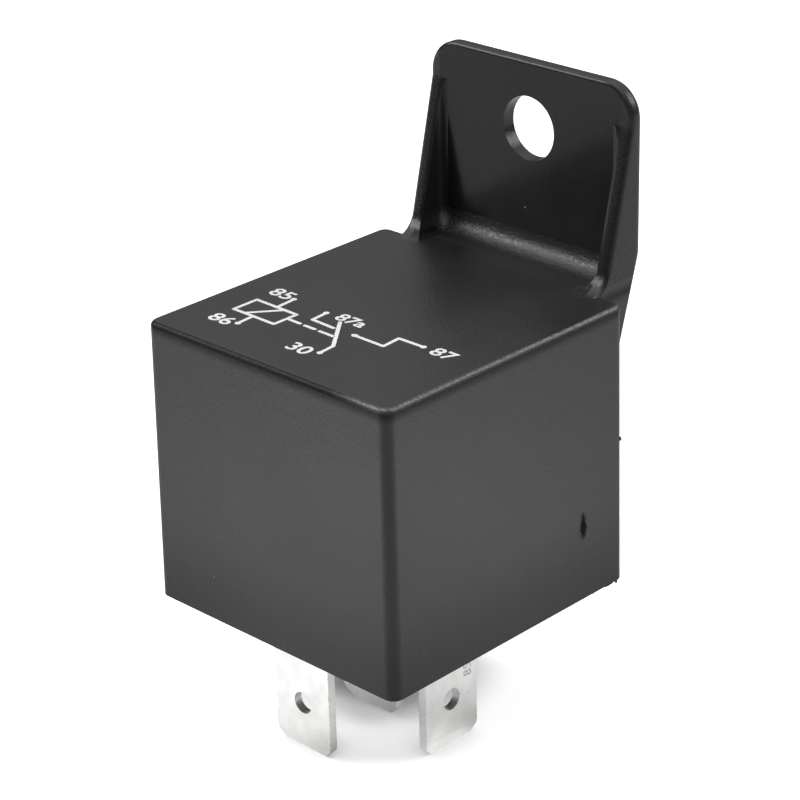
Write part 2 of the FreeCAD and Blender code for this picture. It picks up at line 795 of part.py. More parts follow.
def domed_contact(foot, face, sign):
    """Contact head from its foot to its face along Z, with a dome on the face."""
    rim = vec(contact_radius, 0, face)
    crown = vec(0, 0, face + sign * contact_dome)
    half_angle = math.asin(contact_radius / contact_dome_radius) / 2
    centre_z = face + sign * (contact_dome - contact_dome_radius)
    middle = vec(contact_dome_radius * math.sin(half_angle), 0,
                 centre_z + sign * contact_dome_radius * math.cos(half_angle))
    foot_middle = vec(0, 0, foot)
    foot_rim = vec(contact_radius, 0, foot)
    wire = Part.Wire([Part.makeLine(foot_middle, foot_rim), Part.makeLine(foot_rim, rim),
                      Part.Arc(rim, middle, crown).toShape(), Part.makeLine(crown, foot_middle)])
    return Part.Face(wire).revolve(vec(0, 0, 0), axis_z, 360)


def moving_contact():
    lower = domed_contact(closed_top, closed_top - contact_lower_head, -1)
    upper = domed_contact(spring_top_closed, spring_top_closed + contact_upper_head, 1)
    shank = Part.makeCylinder(contact_shank_radius, spring_thickness, vec(0, 0, closed_top))
    solid = fuse_all([lower, shank, upper])
    solid.translate(vec(0, contact_y, 0))
    return tilt_to_rest(solid)


def fixed_contact(shelf_face, other_face, sign):
    """Flat contact on a shelf, with its shank through the shelf and a tail formed over."""
    height = fixed_contact_height
    chamfer = fixed_contact_chamfer
    face = shelf_face + sign * height
    tail = other_face - sign * contact_tail_height
    points = [vec(0, 0, tail), vec(contact_tail_radius, 0, tail), vec(contact_tail_radius, 0, other_face),
              vec(contact_shank_radius, 0, other_face), vec(contact_shank_radius, 0, shelf_face),
              vec(contact_radius, 0, shelf_face), vec(contact_radius, 0, face - sign * chamfer),
              vec(contact_radius - chamfer, 0, face), vec(0, 0, face)]
    solid = Part.Face(rounded_wire(points, [0] * len(points))).revolve(vec(0, 0, 0), axis_z, 360)
    solid.translate(vec(0, contact_y, 0))
    return solid


def fixed_contact_open():
    return fixed_contact(open_shelf_top, open_shelf_top - blade_thickness, 1)


def fixed_contact_closed():
    bottom = closed_shelf_bottom()
    return fixed_contact(bottom, bottom + blade_thickness, -1)


def rivet(length, place, direction):
    """Rivet with a chamfered head; the place is under its head and the shank runs along direction."""
    shank = Part.makeCylinder(rivet_radius, length, place, direction)
    rim_height = rivet_head_height - rivet_head_chamfer
    rim = Part.makeCylinder(rivet_head_radius, rim_height, place, direction * -1)
    crown = Part.makeCone(rivet_head_radius, rivet_head_radius - rivet_head_chamfer, rivet_head_chamfer,
                          place - direction * rim_height, direction * -1)
    return fuse_all([shank, rim, crown])


def armature_rivets():
    length = armature_thickness + spring_thickness
    down = axis_z * -1
    rivets = [rivet(length, place, down) for place in armature_rivet_places(spring_top_closed)]
    return tilt_to_rest(Part.makeCompound(rivets))


def yoke_rivets():
    length = yoke_thickness + spring_thickness
    forward = axis_y * -1
    return Part.makeCompound([rivet(length, place, forward)
                              for place in yoke_rivet_places(yoke_back + spring_thickness)])


def leaf_top_at_rest(y):
    """Height of the spring's upper face at rest, at a place along Y."""
    known = rest_place(contact_y, spring_top_closed)
    return known.z - (y - known.y) * math.tan(math.radians(open_angle))


def braid_route():
    """Corners of the braid's middle line, from the top of the spring to the common foot."""
    lean = math.cos(math.radians(open_angle))
    start_z = leaf_top_at_rest(braid_start_y) + (braid_radius + braid_weld_gap) / lean
    end_z = tab_top + braid_radius + braid_weld_gap
    side = braid_side_x
    return [vec(braid_start_x, braid_start_y, start_z),
            vec(-spring_width / 2 - braid_ear_overhang, braid_start_y, start_z),
            vec(side, braid_start_y + braid_swing, start_z + braid_hump),
            vec(side, common_blade_y, pole_height + braid_over_pole),
            vec(side, common_blade_y, end_z),
            vec(-yoke_width / 2 - braid_yoke_gap, common_blade_y, end_z)]


def contact_braid():
    """Round braid: straight lengths joined by bends of exact radius."""
    route = braid_route()
    lengths = []
    last_end = route[0]
    for i in range(1, len(route) - 1):
        corner = route[i]
        radius = braid_bends[i - 1]
        to_last = (route[i - 1] - corner).normalize()
        to_next = (route[i + 1] - corner).normalize()
        half = to_last.getAngle(to_next) / 2
        reach = radius / math.tan(half)
        centre = corner + (to_last + to_next).normalize() * (radius / math.sin(half))
        start = corner + to_last * reach
        lengths.append(Part.makeCylinder(braid_radius, (start - last_end).Length, last_end, to_last * -1))
        section = Part.Face(Part.Wire(Part.makeCircle(braid_radius, start, to_last)))
        turn = 180 - 2 * math.degrees(half)
        lengths.append(section.revolve(centre, to_next.cross(to_last), turn))
        last_end = corner + to_next * reach
    way = route[-1] - last_end
    lengths.append(Part.makeCylinder(braid_radius, way.Length, last_end, way))
    return fuse_all(lengths)


pieces = {
    "cover": cover(),
    "base_plate": base_plate(),
    "terminal_87": terminal_open(),
    "terminal_87a": terminal_closed(),
    "terminal_85": terminal_coil(1),
    "terminal_86": terminal_coil(-1),
    "terminal_30": terminal_common(),
    "yoke": yoke(),
    "core": core(),
    "bobbin": bobbin(),
    "coil_winding": coil_winding(),
    "solder_joints": solder_joints(),
    "armature": armature(),
    "contact_spring": contact_spring(),
    "armature_rivets": armature_rivets(),
    "yoke_rivets": yoke_rivets(),
    "moving_contact": moving_contact(),
    "fixed_contact_open": fixed_contact_open(),
    "fixed_contact_closed": fixed_contact_closed(),
    "contact_braid": contact_braid(),
}

os.makedirs("parts", exist_ok=True)
for name, shape in pieces.items():
    shape.exportStep("parts/" + name + ".step")
    print(name, "valid", shape.isValid(), "solids", len(shape.Solids), "volume", round(shape.Volume, 2))
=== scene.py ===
import bpy
import bmesh
import math
import random
from mathutils import Matrix, Vector


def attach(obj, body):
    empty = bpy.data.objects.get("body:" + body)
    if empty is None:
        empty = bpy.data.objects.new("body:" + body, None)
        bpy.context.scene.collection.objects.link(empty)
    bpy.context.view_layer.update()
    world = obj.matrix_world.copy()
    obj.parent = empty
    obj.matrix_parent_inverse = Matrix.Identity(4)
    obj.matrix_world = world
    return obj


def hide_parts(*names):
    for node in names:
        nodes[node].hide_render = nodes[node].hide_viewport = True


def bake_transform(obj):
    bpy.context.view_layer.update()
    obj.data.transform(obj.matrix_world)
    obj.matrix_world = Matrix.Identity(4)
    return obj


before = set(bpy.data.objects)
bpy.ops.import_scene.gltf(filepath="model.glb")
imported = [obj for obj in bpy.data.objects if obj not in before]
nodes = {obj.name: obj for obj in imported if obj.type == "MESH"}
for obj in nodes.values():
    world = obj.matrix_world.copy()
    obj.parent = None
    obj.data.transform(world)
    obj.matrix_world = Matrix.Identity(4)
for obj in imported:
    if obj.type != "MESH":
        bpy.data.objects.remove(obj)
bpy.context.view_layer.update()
random.seed(41)
mm = 0.001
print("relay frame loaded,", len(nodes), "nodes")

# the camera stands where the photograph's stood: places in mm, roll in degrees
viewSettings = {
    "place": (146.17, -147.71, 112.60),
    "target": (-0.40, 1.86, 16.73),
    "roll": 1.42,
    "lens": 122.94,
    "sensor": 36.0,
    "nearest": 0.005,
    "furthest": 20.0,
}


def addCamera():
    view = viewSettings
    place = Vector(view["place"]) * mm
    target = Vector(view["target"]) * mm
    forward = (target - place).normalized()
    across = forward.cross(Vector((0, 0, 1))).normalized()
    down = forward.cross(across)
    roll = math.radians(view["roll"])
    right = across * math.cos(roll) + down * math.sin(roll)
    below = down * math.cos(roll) - across * math.sin(roll)
    turn = Matrix((right, -below, -forward)).transposed().to_4x4()
    data = bpy.data.cameras.new("camera")
    data.sensor_width = view["sensor"]
    data.lens = view["lens"]
    data.clip_start = view["nearest"]
    data.clip_end = view["furthest"]
    camera = bpy.data.objects.new("camera", data)
    camera.matrix_world = Matrix.Translation(place) @ turn
    bpy.context.scene.collection.objects.link(camera)
    bpy.context.scene.camera = camera


# places and sizes in mm, power in watts
lampSettings = {
    "aim": (0, 0, 14),
    "lamps": {
        "lamp-left": {"place": (-420, -260, 330), "size": 290, "power": 1.75},
        "lamp-right": {"place": (330, 420, 340), "size": 290, "power": 1.45},
        "lamp-top": {"place": (-60, 30, 620), "size": 500, "power": 1.1},
    },
}


def addLamps():
    for name, lamp in lampSettings["lamps"].items():
        data = bpy.data.lights.new(name, "AREA")
        data.shape = "RECTANGLE"
        data.size = lamp["size"] * mm
        data.size_y = lamp["size"] * mm
        data.energy = lamp["power"]
        holder = bpy.data.objects.new(name, data)
        place = Vector(lamp["place"]) * mm
        aim = (Vector(lampSettings["aim"]) * mm - place).normalized()
        holder.rotation_mode = "QUATERNION"
        holder.rotation_quaternion = aim.to_track_quat("-Z", "Y")
        holder.location = place
        bpy.context.scene.collection.objects.link(holder)


def feed(tree, value, socket):
    # a socket is linked, anything else is set as the socket's value
    if isinstance(value, bpy.types.NodeSocket):
        tree.links.new(value, socket)
    else:
        socket.default_value = value


def mathNode(tree, operation, first, second=None, clamp=False):
    node = tree.nodes.new("ShaderNodeMath")
    node.operation = operation
    node.use_clamp = clamp
    feed(tree, first, node.inputs[0])
    if second is not None:
        feed(tree, second, node.inputs[1])
    return node.outputs[0]


def add(tree, first, second, clamp=False):
    return mathNode(tree, "ADD", first, second, clamp)


def subtract(tree, first, second):
    return mathNode(tree, "SUBTRACT", first, second)


def divide(tree, first, second):
    return mathNode(tree, "DIVIDE", first, second)


def multiply(tree, *parts):
    product = parts[0]
    for part in parts[1:]:
        product = mathNode(tree, "MULTIPLY", product, part)
    return product


def objectPlace(tree, stretch=(1, 1, 1)):
    # object coordinates in millimetres
    place = tree.nodes.new("ShaderNodeTexCoord")
    scale = tree.nodes.new("ShaderNodeVectorMath")
    scale.operation = "MULTIPLY"
    feed(tree, place.outputs["Object"], scale.inputs[0])
    scale.inputs[1].default_value = tuple(part / mm for part in stretch)
    return scale.outputs[0]


def splitVector(tree, vector):
    parts = tree.nodes.new("ShaderNodeSeparateXYZ")
    feed(tree, vector, parts.inputs[0])
    return parts.outputs


def rangeNode(tree, value, low, high, newLow=0.0, newHigh=1.0):
    node = tree.nodes.new("ShaderNodeMapRange")
    node.interpolation_type = "SMOOTHSTEP"
    feed(tree, value, node.inputs["Value"])
    spans = {"From Min": low, "From Max": high, "To Min": newLow, "To Max": newHigh}
    for label, amount in spans.items():
        feed(tree, amount, node.inputs[label])
    return node.outputs["Result"]


def riseMask(tree, value, span):
    return rangeNode(tree, value, span[0], span[1])


def fallMask(tree, value, span):
    return rangeNode(tree, value, span[0], span[1], 1.0, 0.0)


def bandMask(tree, value, band):
    # 1 between the first two numbers, with ends as soft as the third
    low, high, soft = band
    rise = riseMask(tree, value, (low - soft, low + soft))
    fall = fallMask(tree, value, (high - soft, high + soft))
    return multiply(tree, rise, fall)


def mixValue(tree, factor, first, second):
    node = tree.nodes.new("ShaderNodeMix")
    feed(tree, factor, node.inputs[0])
    feed(tree, first, node.inputs[2])
    feed(tree, second, node.inputs[3])
    return node.outputs[0]


def mixColour(tree, factor, first, second):
    node = tree.nodes.new("ShaderNodeMix")
    node.data_type = "RGBA"
    feed(tree, factor, node.inputs[0])
    feed(tree, first + (1,) if isinstance(first, tuple) else first, node.inputs[6])
    feed(tree, second + (1,) if isinstance(second, tuple) else second, node.inputs[7])
    return node.outputs[2]


def noiseNode(tree, place, scale, detail=2.0, rough=0.5):
    noise = tree.nodes.new("ShaderNodeTexNoise")
    feed(tree, place, noise.inputs["Vector"])
    feed(tree, scale, noise.inputs["Scale"])
    noise.inputs["Detail"].default_value = detail
    noise.inputs["Roughness"].default_value = rough
    return noise.outputs["Fac"]


# the tent is dim at the horizon and white overhead; the bands are heights of the look direction
tentSettings = {
    "strength": 0.40,
    "horizon": 0.10,
    "middle": 0.46,
    "under": 0.6,
    "middleBand": (0.12, 0.42),
    "crownBand": (0.42, 0.62),
    "underBand": (-0.3, -0.05),
}


def buildTent():
    tent = tentSettings
    world = bpy.data.worlds.new("tent")
    bpy.context.scene.world = world
    world.use_nodes = True
    tree = world.node_tree
    tree.nodes.clear()
    path = tree.nodes.new("ShaderNodeLightPath")
    seen = add(tree, path.outputs["Is Camera Ray"], path.outputs["Is Glossy Ray"], True)
    seen = add(tree, seen, path.outputs["Is Transmission Ray"], True)
    sky = tree.nodes.new("ShaderNodeTexCoord")
    height = splitVector(tree, sky.outputs["Generated"])[2]
    lower = rangeNode(tree, height, *tent["middleBand"], tent["horizon"], tent["middle"])
    upper = rangeNode(tree, height, *tent["crownBand"], 0.0, 1.0 - tent["middle"])
    tone = add(tree, lower, upper)
    tone = mixValue(tree, fallMask(tree, height, tent["underBand"]), tone, tent["under"])
    tone = mixValue(tree, path.outputs["Is Camera Ray"], tone, 1.0)
    tone = mixValue(tree, path.outputs["Is Transmission Ray"], tone, 1.0)
    back = tree.nodes.new("ShaderNodeBackground")
    back.inputs["Color"].default_value = (1, 1, 1, 1)
    feed(tree, mixValue(tree, seen, tent["strength"], tone), back.inputs["Strength"])
    leave = tree.nodes.new("ShaderNodeOutputWorld")
    feed(tree, back.outputs[0], leave.inputs["Surface"])


# white paper, lengths in mm; its gloss glow pools are painted reflections: patches where the paper glows
# for glossy rays only, which the shiny sides mirror, each with its centre, radius and strength
floorSettings = {
    "colour": (0.86, 0.86, 0.86),
    "roughness": 0.85,
    "shine": 0.2,
    "height": -11.28,
    "size": 4000.0,
    "glow": (0.02, 0.64),
    "glowReach": (3.5, 11.0),
    "glowCentre": (-3.0, 3.0),
    "footReach": 4.5,
    "footSamples": 8,
    "footBand": (0.35, 0.95),
    "footShade": 0.35,
    "glossGlowPools": [
        ((-30, -62), 31.0, 2.2),
        ((59, 27), 31.0, 1.85),
        ((-16, -58), 18.0, 1.0),
        ((60, 13), 18.0, 0.8),
        ((-9.5, -20.5), 14.5, 0.66),
        ((20, 11), 14.0, 0.38),
        ((9, -5), 8.0, 0.45),
        ((-3, -8), 7.0, 0.20),
    ],
}


def squareDistance(tree, x, y, centre, unit=None):
    offX = subtract(tree, x, centre[0])
    offY = subtract(tree, y, centre[1])
    if unit is not None:
        offX = divide(tree, offX, unit)
        offY = divide(tree, offY, unit)
    return add(tree, multiply(tree, offX, offX), multiply(tree, offY, offY))


def buildPaper():
    look = floorSettings
    material = bpy.data.materials.new("floor-paper")
    material.use_nodes = True
    tree = material.node_tree
    shader = tree.nodes["Principled BSDF"]
    shader.inputs["Base Color"].default_value = look["colour"] + (1,)
    shader.inputs["Roughness"].default_value = look["roughness"]
    shader.inputs["Specular IOR Level"].default_value = look["shine"]
    shader.inputs["Emission Color"].default_value = (1, 1, 1, 1)
    path = tree.nodes.new("ShaderNodeLightPath")
    # the paper glows less under the relay, where its shadow stays, and less again in the occlusion round
    # the blade feet: a painted contact shadow
    x, y, z = splitVector(tree, objectPlace(tree))
    reach = mathNode(tree, "SQRT", squareDistance(tree, x, y, look["glowCentre"]))
    level = rangeNode(tree, reach, *look["glowReach"], *look["glow"])
    footShadow = tree.nodes.new("ShaderNodeAmbientOcclusion")
    footShadow.samples = look["footSamples"]
    footShadow.inputs["Distance"].default_value = look["footReach"] * mm
    shade = rangeNode(tree, footShadow.outputs["AO"], *look["footBand"], look["footShade"], 1.0)
    level = multiply(tree, level, shade)
    glossGlowPools = 0.0
    for centre, radius, strength in look["glossGlowPools"]:
        away = squareDistance(tree, x, y, centre, radius)
        glossGlowPools = add(tree, glossGlowPools, rangeNode(tree, away, 0.0, 1.0, strength, 0.0))
    seen = add(tree, path.outputs["Is Camera Ray"], path.outputs["Is Transmission Ray"], True)
    glow = add(tree, multiply(tree, seen, level), multiply(tree, path.outputs["Is Glossy Ray"], glossGlowPools))
    feed(tree, glow, shader.inputs["Emission Strength"])
    # seen from below, the paper lets the view through
    clear = tree.nodes.new("ShaderNodeBsdfTransparent")
    side = tree.nodes.new("ShaderNodeNewGeometry")
    mix = tree.nodes.new("ShaderNodeMixShader")
    feed(tree, multiply(tree, side.outputs["Backfacing"], path.outputs["Is Camera Ray"]), mix.inputs[0])
    feed(tree, shader.outputs[0], mix.inputs[1])
    feed(tree, clear.outputs[0], mix.inputs[2])
    feed(tree, mix.outputs[0], tree.nodes["Material Output"].inputs["Surface"])
    return material


def buildFloor():
    half = floorSettings["size"] * mm / 2
    height = floorSettings["height"] * mm
    mesh = bpy.data.meshes.new("floor")
    corners = [(half * x, half * y, height) for x, y in ((-1, -1), (1, -1), (1, 1), (-1, 1))]
    mesh.from_pydata(corners, [], [(0, 1, 2, 3)])
    mesh.materials.append(buildPaper())
    floor = bpy.data.objects.new("floor", mesh)
    bpy.context.scene.collection.objects.link(floor)


addCamera()
addLamps()
buildTent()
buildFloor()
bpy.context.scene.view_settings.view_transform = "Standard"
print("camera, lamps, tent and floor placed")


def newGroup(name, inputs, outputs):
    tree = bpy.data.node_groups.new(name, "ShaderNodeTree")
    for label, value in inputs.items():
        socket = tree.interface.new_socket(name=label, in_out="INPUT", socket_type="NodeSocketFloat")
        socket.default_value = value
    for label in outputs:
        tree.interface.new_socket(name=label, in_out="OUTPUT", socket_type="NodeSocketFloat")
    given = tree.nodes.new("NodeGroupInput")
    result = tree.nodes.new("NodeGroupOutput")
    return tree, given.outputs, result.inputs


def perMillimetre(tree, size):
    return divide(tree, 1.0, size)


# in the groups' shapes a noise is its detail and roughness, and the pair after it its used range
grainShape = {
    "pitNoise": (3.0, 0.6),
    "pits": (0.32, 0.62),
    "driftNoise": (3.0, 0.55),
    "drift": (0.3, 0.7),
}


def buildSparkGrain():
    # eroded mould texture: fine pits with broader drift
    inputs = {"Grain Size": 0.16, "Drift Size": 9.0}
    tree, given, result = newGroup("sparkGrain", inputs, ["Height", "Drift"])
    shape = grainShape
    place = objectPlace(tree)
    pits = noiseNode(tree, place, perMillimetre(tree, given["Grain Size"]), *shape["pitNoise"])
    drift = noiseNode(tree, place, perMillimetre(tree, given["Drift Size"]), *shape["driftNoise"])
    feed(tree, riseMask(tree, pits, shape["pits"]), result["Height"])
    feed(tree, riseMask(tree, drift, shape["drift"]), result["Drift"])
    return tree


rubShape = {
    "samples": 6,
    "lean": (0.02, 0.3),
    "chipNoise": (5.0, 0.65),
    "chips": (0.5, 0.66),
    "nickNoise": (2.0, 0.6),
    "nicks": (0.55, 0.60),
}


def buildEdgeRub():
    # how far the rounded normal leaves the flat one, broken up by noise
    inputs = {"Radius": 0.25, "Break Size": 0.9}
    tree, given, result = newGroup("edgeRub", inputs, ["Chips", "Nicks"])
    shape = rubShape
    bevel = tree.nodes.new("ShaderNodeBevel")
    bevel.samples = shape["samples"]
    feed(tree, multiply(tree, given["Radius"], mm), bevel.inputs["Radius"])
    side = tree.nodes.new("ShaderNodeNewGeometry")
    dot = tree.nodes.new("ShaderNodeVectorMath")
    dot.operation = "DOT_PRODUCT"
    feed(tree, bevel.outputs[0], dot.inputs[0])
    feed(tree, side.outputs["Normal"], dot.inputs[1])
    lean = mathNode(tree, "SUBTRACT", 1.0, dot.outputs["Value"], True)
    edge = riseMask(tree, lean, shape["lean"])
    scale = perMillimetre(tree, given["Break Size"])
    chips = noiseNode(tree, objectPlace(tree), scale, *shape["chipNoise"])
    nicks = noiseNode(tree, objectPlace(tree), scale, *shape["nickNoise"])
    feed(tree, multiply(tree, edge, riseMask(tree, chips, shape["chips"])), result["Chips"])
    feed(tree, multiply(tree, edge, riseMask(tree, nicks, shape["nicks"])), result["Nicks"])
    return tree


def buildDustAndGlintSpecks():
    # a few pale specks, none larger than the given size, for dust and for painted glints
    tree, given, result = newGroup("dustAndGlintSpecks", {"Spacing": 3.0, "Size": 0.09}, ["Specks"])
    shareLeftOut = 0.55  # of the cells, so that the grains lie unevenly
    cells = tree.nodes.new("ShaderNodeTexVoronoi")
    feed(tree, objectPlace(tree), cells.inputs["Vector"])
    feed(tree, perMillimetre(tree, given["Spacing"]), cells.inputs["Scale"])
    cells.inputs["Randomness"].default_value = 1.0
    reach = divide(tree, given["Size"], given["Spacing"])
    near = mathNode(tree, "LESS_THAN", cells.outputs["Distance"], reach)
    parts = tree.nodes.new("ShaderNodeSeparateColor")
    feed(tree, cells.outputs["Color"], parts.inputs[0])
    chosen = mathNode(tree, "GREATER_THAN", parts.outputs[0], shareLeftOut)
    feed(tree, multiply(tree, near, chosen), result["Specks"])
    return tree


lineShape = {
    "along": 0.03,
    "lineNoise": (2.0, 0.6),
    "lines": (0.3, 0.7),
    "turn": (0.5, 0.3, 0.9),
    "scratchAlong": 0.06,
    "scratchNoise": (1.0, 0.5),
    "scratches": (0.68, 0.72),
}


def buildDrawLines():
    # long fine lines left by rolling or drawing, along Z, with a few deeper scratches
    inputs = {"Line Width": 0.06, "Scratch Width": 0.35}
    tree, given, result = newGroup("drawLines", inputs, ["Lines", "Scratches"])
    shape = lineShape
    along = objectPlace(tree, (1.0, 1.0, shape["along"]))
    lines = noiseNode(tree, along, perMillimetre(tree, given["Line Width"]), *shape["lineNoise"])
    slanted = tree.nodes.new("ShaderNodeVectorRotate")
    slanted.rotation_type = "EULER_XYZ"
    slanted.inputs["Rotation"].default_value = shape["turn"]
    feed(tree, objectPlace(tree), slanted.inputs["Vector"])
    squeeze = tree.nodes.new("ShaderNodeVectorMath")
    squeeze.operation = "MULTIPLY"
    feed(tree, slanted.outputs[0], squeeze.inputs[0])
    squeeze.inputs[1].default_value = (1.0, shape["scratchAlong"], shape["scratchAlong"])
    deepScale = perMillimetre(tree, given["Scratch Width"])
    deep = noiseNode(tree, squeeze.outputs[0], deepScale, *shape["scratchNoise"])
    feed(tree, riseMask(tree, lines, shape["lines"]), result["Lines"])
    feed(tree, riseMask(tree, deep, shape["scratches"]), result["Scratches"])
    return tree


groups = {
    "sparkGrain": buildSparkGrain(),
    "edgeRub": buildEdgeRub(),
    "dustAndGlintSpecks": buildDustAndGlintSpecks(),
    "drawLines": buildDrawLines(),
}
print("shader groups built")


def startMaterial(name):
    material = bpy.data.materials.new(name)
    material.use_nodes = True
    tree = material.node_tree
    return material, tree, tree.nodes["Principled BSDF"]


def useGroup(tree, name, values):
    node = tree.nodes.new("ShaderNodeGroup")
    node.node_tree = groups[name]
    for label, value in values.items():
        node.inputs[label].default_value = value
    return node.outputs


def useGrain(tree, grainSize, driftSize):
    return useGroup(tree, "sparkGrain", {"Grain Size": grainSize, "Drift Size": driftSize})


def useSpecks(tree, spacing, size):
    return useGroup(tree, "dustAndGlintSpecks", {"Spacing": spacing, "Size": size})["Specks"]


def useRub(tree, reach, breaks):
    return useGroup(tree, "edgeRub", {"Radius": reach, "Break Size": breaks})


def addBump(tree, shader, height, depth, normal=None):
    bump = tree.nodes.new("ShaderNodeBump")
    if normal is not None:
        feed(tree, normal, bump.inputs["Normal"])
    bump.inputs["Distance"].default_value = depth * mm
    bump.inputs["Strength"].default_value = 1.0
    feed(tree, height, bump.inputs["Height"])
    feed(tree, bump.outputs[0], shader.inputs["Normal"])


# sizes in mm
coverLook = {
    "colour": (0.0075, 0.0075, 0.0077),
    "paleColour": (0.012, 0.012, 0.0123),
    "innerPaintedLightColour": (0.03, 0.03, 0.03),
    "rubColour": (0.075, 0.075, 0.078),
    "glintColour": (0.055, 0.055, 0.055),
    "wornAndHighlightColour": (0.14, 0.14, 0.14),
    "dustColour": (0.32, 0.32, 0.31),
    "sideRoughness": 0.44,
    "topRoughness": 0.33,
    "bracketRoughness": 0.20,
    "pocketRoughness": 0.15,
    "coveRoughness": 0.24,
    "driftRoughness": 0.05,
    "sideShine": 0.55,
    "lowShine": 0.38,
    "rimShine": 0.18,
    "bracketShine": 0.36,
    "pocketShine": 0.25,
    "coveShine": 0.56,
    "frontEdgeShine": 0.10,
    "frontEdgeDulling": 0.9,
    "grainSize": 0.22,
    "driftSize": 11.0,
    "grainDepth": 0.009,
    "coveGrain": 2.6,
    "pocketPolish": 0.93,
    "rub": (0.22, 0.8),
    "dust": (3.4, 0.08),
    "glints": (0.75, 0.055),
    "edgeSparkle": 3.1,
    "edgeSparkleNoise": (4.0, 0.7),
    "edgeSparkleBand": (0.42, 0.58),
    "edgeSparkleLeast": 0.15,
    "gussetRound": 0.6,
    "gussetSamples": 8,
}

# where the cover's zones lie, in mm or as the lean of the normal: three numbers are a band's
# low end, high end and softness, two are where a change starts and ends
coverZones = {
    "pocketX": (-10.2, 10.2, 0.05),
    "pocketY": (12.6, 17.95, 0.05),
    "pocketZ": (25.55, 43.0, 0.05),
    "innerLean": (0.6, 0.9),
    "coveFront": (15.9, 16.5),
    "coveBack": (17.87, 17.93),
    "coveZ": (25.4, 27.3, 0.12),
    "topZ": (25.3, 25.6, 0.1),
    "topEnd": (14.5, 15.5),
    "bracketFoot": (25.7, 26.3),
    "rimZ": (24.55, 25.4, 0.45),
    "rimLean": (0.1, 0.3),
    "edgeZ": (25.0, 25.6, 0.1),
    "edgeLean": (0.68, 0.91, 0.06),
    "frontLean": (-0.35, -0.2),
    "frontX": (7.0, 12.5),
    "frontY": (-12.5, -12.0),
    "frontZ": (24.9, 25.1),
    "gussetX": (9.7, 9.95),
    "gussetZ": (26.5, 27.5),
    "lowZ": (0.0, 9.0),
}

# small dark scar on the right face, drawn out upwards
scarLook = {
    "place": (8.85, 6.9),
    "width": 0.42,
    "height": 1.15,
    "ragged": 3.2,
    "raggedScale": 3.4,
    "raggedNoise": (4.0, 0.75),
    "edge": (0.1, 1.5),
    "face": (13.5, 13.7),
    "colour": (0.004, 0.004, 0.004),
    "roughness": 0.8,
    "shine": 0.05,
    "depth": 6.0,
}


def scarMask(tree, x, y, z):
    look = scarLook
    wobble = noiseNode(tree, objectPlace(tree), look["raggedScale"], *look["raggedNoise"])
    wobble = multiply(tree, subtract(tree, wobble, 0.5), look["ragged"])
    offY = divide(tree, subtract(tree, y, look["place"][0]), look["width"])
    offZ = divide(tree, subtract(tree, z, look["place"][1]), look["height"])
    away = add(tree, multiply(tree, offY, offY), multiply(tree, offZ, offZ))
    away = add(tree, away, wobble)
    return multiply(tree, fallMask(tree, away, look["edge"]), riseMask(tree, x, look["face"]))


def coverMasks(tree, normal):
    zones = coverZones
    x, y, z = splitVector(tree, objectPlace(tree))
    leanX, leanY, leanZ = splitVector(tree, normal)
    inX = bandMask(tree, x, zones["pocketX"])
    pocket = multiply(tree, inX, bandMask(tree, y, zones["pocketY"]),
                      bandMask(tree, z, zones["pocketZ"]))
    cove = multiply(tree, riseMask(tree, y, zones["coveFront"]), fallMask(tree, y, zones["coveBack"]),
                    bandMask(tree, z, zones["coveZ"]), inX)
    innerLean = riseMask(tree, mathNode(tree, "ABSOLUTE", leanX), zones["innerLean"])
    front = multiply(tree, fallMask(tree, leanY, zones["frontLean"]), fallMask(tree, x, zones["frontX"]),
                     riseMask(tree, z, zones["frontZ"]), fallMask(tree, y, zones["frontY"]))
    # the top edge gets a pale speckled band, partly rubbed wear and partly a painted highlight, but at
    # the front only near the right corner
    look = coverLook
    sparkle = noiseNode(tree, objectPlace(tree), look["edgeSparkle"], *look["edgeSparkleNoise"])
    sparkle = rangeNode(tree, sparkle, *look["edgeSparkleBand"], look["edgeSparkleLeast"], 1.0)
    edge = multiply(tree, bandMask(tree, leanZ, zones["edgeLean"]),
                    bandMask(tree, z, zones["edgeZ"]), sparkle)
    dulled = subtract(tree, 1.0, multiply(tree, front, look["frontEdgeDulling"]))
    outer = riseMask(tree, mathNode(tree, "ABSOLUTE", x), zones["gussetX"])
    return {
        "pocket": pocket,
        "cove": cove,
        "inner": multiply(tree, pocket, innerLean),
        "top": multiply(tree, bandMask(tree, z, zones["topZ"]), fallMask(tree, y, zones["topEnd"])),
        "bracket": riseMask(tree, z, zones["bracketFoot"]),
        "rim": multiply(tree, bandMask(tree, z, zones["rimZ"]), fallMask(tree, leanZ, zones["rimLean"])),
        "front": front,
        "worn": multiply(tree, edge, dulled),
        "gusset": multiply(tree, outer, riseMask(tree, z, zones["gussetZ"])),
        "low": fallMask(tree, z, zones["lowZ"]),
        "scar": scarMask(tree, x, y, z),
    }


